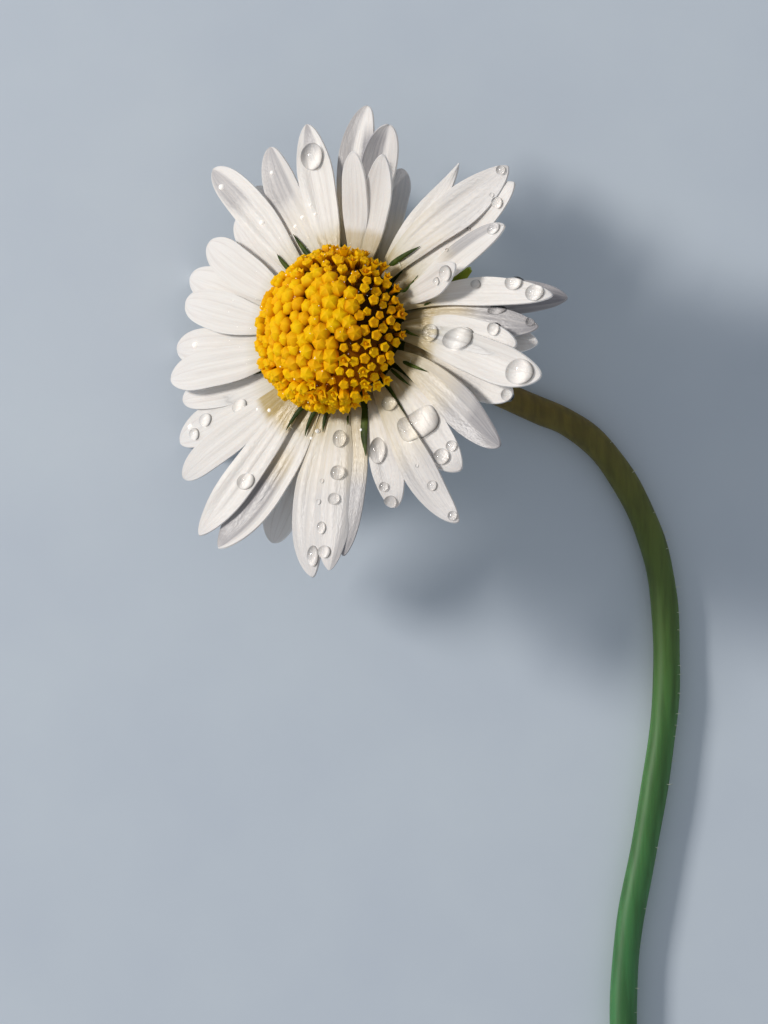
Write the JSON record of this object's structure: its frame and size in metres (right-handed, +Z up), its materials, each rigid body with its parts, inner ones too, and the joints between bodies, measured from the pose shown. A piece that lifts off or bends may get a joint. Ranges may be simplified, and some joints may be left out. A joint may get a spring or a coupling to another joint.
{
  "type": "daisy flower",
  "caption": "Picked common daisy lying on its curved bare stem: white petals in layers round a domed yellow disc, with a green bracted cup behind.",
  "frame": {"origin": "middle of the footprint, on the plane that the flower lies on", "axes": "+Z up, away from the surface that it lies on; +Y from the cut end of the stem towards the flower head; +X to the side that the stem bends to, with the head facing up and towards -X"},
  "size_m": [0.026, 0.0626, 0.0156],
  "materials": {
    "floret": "matte",
    "petal": "satin",
    "bract": "matte",
    "stem": "satin"
  },
  "bodies": {
    "root": {"disc": "floret", "petals": "petal", "involucre": "bract", "stem": "stem"}
  },
  "joints": []
}
